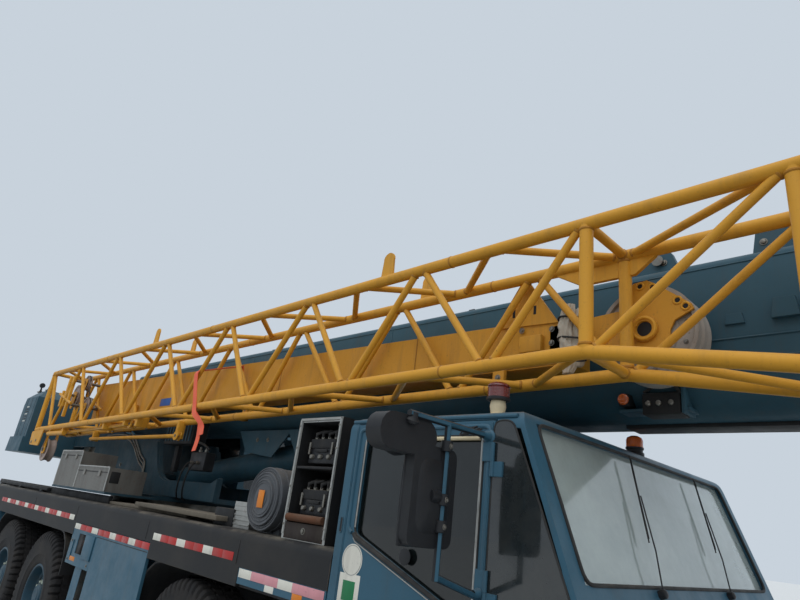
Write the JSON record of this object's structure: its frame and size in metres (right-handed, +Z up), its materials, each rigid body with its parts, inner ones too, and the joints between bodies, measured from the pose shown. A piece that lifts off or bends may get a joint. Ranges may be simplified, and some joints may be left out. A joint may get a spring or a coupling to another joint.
{
  "type": "mobile crane",
  "caption": "Wheeled all-terrain mobile crane with slewing superstructure, telescopic boom, stowed lattice jib, outriggers and hook block.",
  "frame": {"origin": "centre of the bounding box on the ground plane", "axes": "+X to the carrier's front, +Y to its left, +Z up"},
  "size_m": [13.2, 4.2, 3.745],
  "materials": {
    "body_teal": "teal paint, weathered",
    "jib_yellow": "golden yellow paint, faded and chipped",
    "frame_black": "black chassis paint",
    "deck_black": "dark grey deck paint, worn at the edge",
    "cab_glass": "tinted glass",
    "seat_fabric": "dark woven seat cloth",
    "dash_plastic": "grained dash plastic",
    "cabinet_steel": "aluminium edging",
    "filter_grey": "grey paint",
    "engine_iron": "cast iron",
    "axle_black": "black painted castings",
    "machined_steel": "greased steel",
    "lamp_lens": "moulded lens",
    "box_grey": "ribbed grey sheet",
    "sheave_nylon": "weathered cast nylon",
    "wire_rope": "wire rope",
    "rod_chrome": "hard chrome",
    "tyre_rubber": "tyre rubber and painted rim"
  },
  "bodies": {
    "carrier": {"chassis_frame": "frame_black", "deck": "deck_black", "mudguards": "frame_black", "side_boxes": "body_teal", "front_bumper": "body_teal", "cab_shell": "body_teal", "cab_glass": "cab_glass", "cab_seats": "seat_fabric", "cab_dash": "dash_plastic", "rear_cabinet": "cabinet_steel", "air_filter": "filter_grey", "engine_hood": "frame_black", "engine_block": "engine_iron", "axle_beams": "axle_black", "slewing_ring": "machined_steel", "lamps": "lamp_lens"},
    "superstructure": {"upper_frame": "body_teal", "counterweight": "body_teal", "winch": "machined_steel", "tool_boxes": "box_grey", "operator_cab": "body_teal", "operator_glass": "cab_glass", "operator_seat": "seat_fabric"},
    "operator_door": {"operator_door": "body_teal"},
    "boom": {"boom_base": "body_teal", "lattice_jib": "jib_yellow", "jib_box": "jib_yellow", "jib_sheaves": "sheave_nylon"},
    "boom_middle": {"boom_middle": "body_teal"},
    "boom_inner": {"boom_inner": "body_teal", "head_sheaves": "sheave_nylon", "hook_block": "jib_yellow", "rope_falls": "wire_rope"},
    "lift_barrel": {"lift_barrel": "body_teal"},
    "lift_rod": {"lift_rod": "rod_chrome"},
    "cab_door_right": {"cab_door_right": "body_teal", "cab_door_glass_right": "cab_glass"},
    "cab_door_left": {"cab_door_left": "body_teal", "cab_door_glass_left": "cab_glass"},
    "knuckle_1_right": {"knuckle_1_right": "axle_black"},
    "knuckle_1_left": {"knuckle_1_left": "axle_black"},
    "knuckle_2_right": {"knuckle_2_right": "axle_black"},
    "knuckle_2_left": {"knuckle_2_left": "axle_black"},
    "wheel_1_right": {"wheel_1_right": "tyre_rubber"},
    "wheel_1_left": {"wheel_1_left": "tyre_rubber"},
    "wheel_2_right": {"wheel_2_right": "tyre_rubber"},
    "wheel_2_left": {"wheel_2_left": "tyre_rubber"},
    "wheel_3_right": {"wheel_3_right": "tyre_rubber"},
    "wheel_3_left": {"wheel_3_left": "tyre_rubber"},
    "wheel_4_right": {"wheel_4_right": "tyre_rubber"},
    "wheel_4_left": {"wheel_4_left": "tyre_rubber"},
    "outrigger_front_right": {"outrigger_beam_front_right": "body_teal"},
    "jack_front_right": {"jack_front_right": "rod_chrome"},
    "outrigger_front_left": {"outrigger_beam_front_left": "body_teal"},
    "jack_front_left": {"jack_front_left": "rod_chrome"},
    "outrigger_rear_right": {"outrigger_beam_rear_right": "body_teal"},
    "jack_rear_right": {"jack_rear_right": "rod_chrome"},
    "outrigger_rear_left": {"outrigger_beam_rear_left": "body_teal"},
    "jack_rear_left": {"jack_rear_left": "rod_chrome"}
  },
  "joints": [
    {"name": "slew", "type": "hinge", "parent": "carrier", "child": "superstructure", "pos_m": [-2.55, 0, 1.86], "axis": [0, 0, 1], "continuous": true},
    {"name": "boom_lift", "type": "hinge", "parent": "superstructure", "child": "boom", "pos_m": [-4.1, 0, 3], "axis": [0, -1, 0], "range_deg": [0, 80]},
    {"name": "boom_extend", "type": "slide", "parent": "boom", "child": "boom_middle", "axis": [1, 0, 0], "range_m": [0, 7.5]},
    {"name": "boom_extend_inner", "type": "slide", "parent": "boom_middle", "child": "boom_inner", "axis": [1, 0, 0], "range_m": [0, 7.5]},
    {"name": "lift_barrel_swing", "type": "hinge", "parent": "superstructure", "child": "lift_barrel", "pos_m": [-2.3, 0, 2.14], "axis": [0, -1, 0], "range_deg": [0, 87.65]},
    {"name": "lift_rod_slide", "type": "slide", "parent": "lift_barrel", "child": "lift_rod", "axis": [0.9925, 0, 0.1222], "range_m": [0, 2.498]},
    {"name": "operator_door_slide", "type": "slide", "parent": "superstructure", "child": "operator_door", "axis": [-1, 0, 0], "range_m": [0, 0.72]},
    {"name": "cab_door_right_swing", "type": "hinge", "parent": "carrier", "child": "cab_door_right", "pos_m": [3.823, -1.389, 1.75], "axis": [0, 0, 1], "range_deg": [0, 65]},
    {"name": "cab_door_left_swing", "type": "hinge", "parent": "carrier", "child": "cab_door_left", "pos_m": [3.823, 1.389, 1.75], "axis": [0, 0, -1], "range_deg": [0, 65]},
    {"name": "steer_1_right", "type": "hinge", "parent": "carrier", "child": "knuckle_1_right", "pos_m": [2.7, -0.925, 0.685], "axis": [0, 0, 1], "range_deg": [-25, 25]},
    {"name": "steer_1_left", "type": "hinge", "parent": "carrier", "child": "knuckle_1_left", "pos_m": [2.7, 0.925, 0.685], "axis": [0, 0, 1], "range_deg": [-25, 25]},
    {"name": "steer_2_right", "type": "hinge", "parent": "carrier", "child": "knuckle_2_right", "pos_m": [1.05, -0.925, 0.685], "axis": [0, 0, 1], "range_deg": [-15, 15]},
    {"name": "steer_2_left", "type": "hinge", "parent": "carrier", "child": "knuckle_2_left", "pos_m": [1.05, 0.925, 0.685], "axis": [0, 0, 1], "range_deg": [-15, 15]},
    {"name": "wheel_1_right_spin", "type": "hinge", "parent": "knuckle_1_right", "child": "wheel_1_right", "pos_m": [2.7, -1.15, 0.685], "axis": [0, 1, 0], "continuous": true},
    {"name": "wheel_1_left_spin", "type": "hinge", "parent": "knuckle_1_left", "child": "wheel_1_left", "pos_m": [2.7, 1.15, 0.685], "axis": [0, 1, 0], "continuous": true},
    {"name": "wheel_2_right_spin", "type": "hinge", "parent": "knuckle_2_right", "child": "wheel_2_right", "pos_m": [1.05, -1.15, 0.685], "axis": [0, 1, 0], "continuous": true},
    {"name": "wheel_2_left_spin", "type": "hinge", "parent": "knuckle_2_left", "child": "wheel_2_left", "pos_m": [1.05, 1.15, 0.685], "axis": [0, 1, 0], "continuous": true},
    {"name": "wheel_3_right_spin", "type": "hinge", "parent": "carrier", "child": "wheel_3_right", "pos_m": [-2.55, -1.15, 0.685], "axis": [0, 1, 0], "continuous": true},
    {"name": "wheel_3_left_spin", "type": "hinge", "parent": "carrier", "child": "wheel_3_left", "pos_m": [-2.55, 1.15, 0.685], "axis": [0, 1, 0], "continuous": true},
    {"name": "wheel_4_right_spin", "type": "hinge", "parent": "carrier", "child": "wheel_4_right", "pos_m": [-4.2, -1.15, 0.685], "axis": [0, 1, 0], "continuous": true},
    {"name": "wheel_4_left_spin", "type": "hinge", "parent": "carrier", "child": "wheel_4_left", "pos_m": [-4.2, 1.15, 0.685], "axis": [0, 1, 0], "continuous": true},
    {"name": "outrigger_front_right_slide", "type": "slide", "parent": "carrier", "child": "outrigger_front_right", "axis": [0, -1, 0], "range_m": [0, 1.6]},
    {"name": "jack_front_right_drop", "type": "slide", "parent": "outrigger_front_right", "child": "jack_front_right", "axis": [0, 0, -1], "range_m": [0, 0.55]},
    {"name": "outrigger_front_left_slide", "type": "slide", "parent": "carrier", "child": "outrigger_front_left", "axis": [0, 1, 0], "range_m": [0, 1.6]},
    {"name": "jack_front_left_drop", "type": "slide", "parent": "outrigger_front_left", "child": "jack_front_left", "axis": [0, 0, -1], "range_m": [0, 0.55]},
    {"name": "outrigger_rear_right_slide", "type": "slide", "parent": "carrier", "child": "outrigger_rear_right", "axis": [0, -1, 0], "range_m": [0, 1.6]},
    {"name": "jack_rear_right_drop", "type": "slide", "parent": "outrigger_rear_right", "child": "jack_rear_right", "axis": [0, 0, -1], "range_m": [0, 0.55]},
    {"name": "outrigger_rear_left_slide", "type": "slide", "parent": "carrier", "child": "outrigger_rear_left", "axis": [0, 1, 0], "range_m": [0, 1.6]},
    {"name": "jack_rear_left_drop", "type": "slide", "parent": "outrigger_rear_left", "child": "jack_rear_left", "axis": [0, 0, -1], "range_m": [0, 0.55]}
  ],
  "couplings": [
    {"joint": "boom_extend_inner", "follows": "boom_extend", "ratio": 1},
    {"joint": "lift_barrel_swing", "follows": "boom_lift", "ratio": 1.0957},
    {"joint": "lift_rod_slide", "follows": "boom_lift", "m_per_rad": 1.7891},
    {"joint": "steer_1_left", "follows": "steer_1_right", "ratio": 1},
    {"joint": "steer_2_right", "follows": "steer_1_right", "ratio": 0.6},
    {"joint": "steer_2_left", "follows": "steer_1_right", "ratio": 0.6}
  ]
}
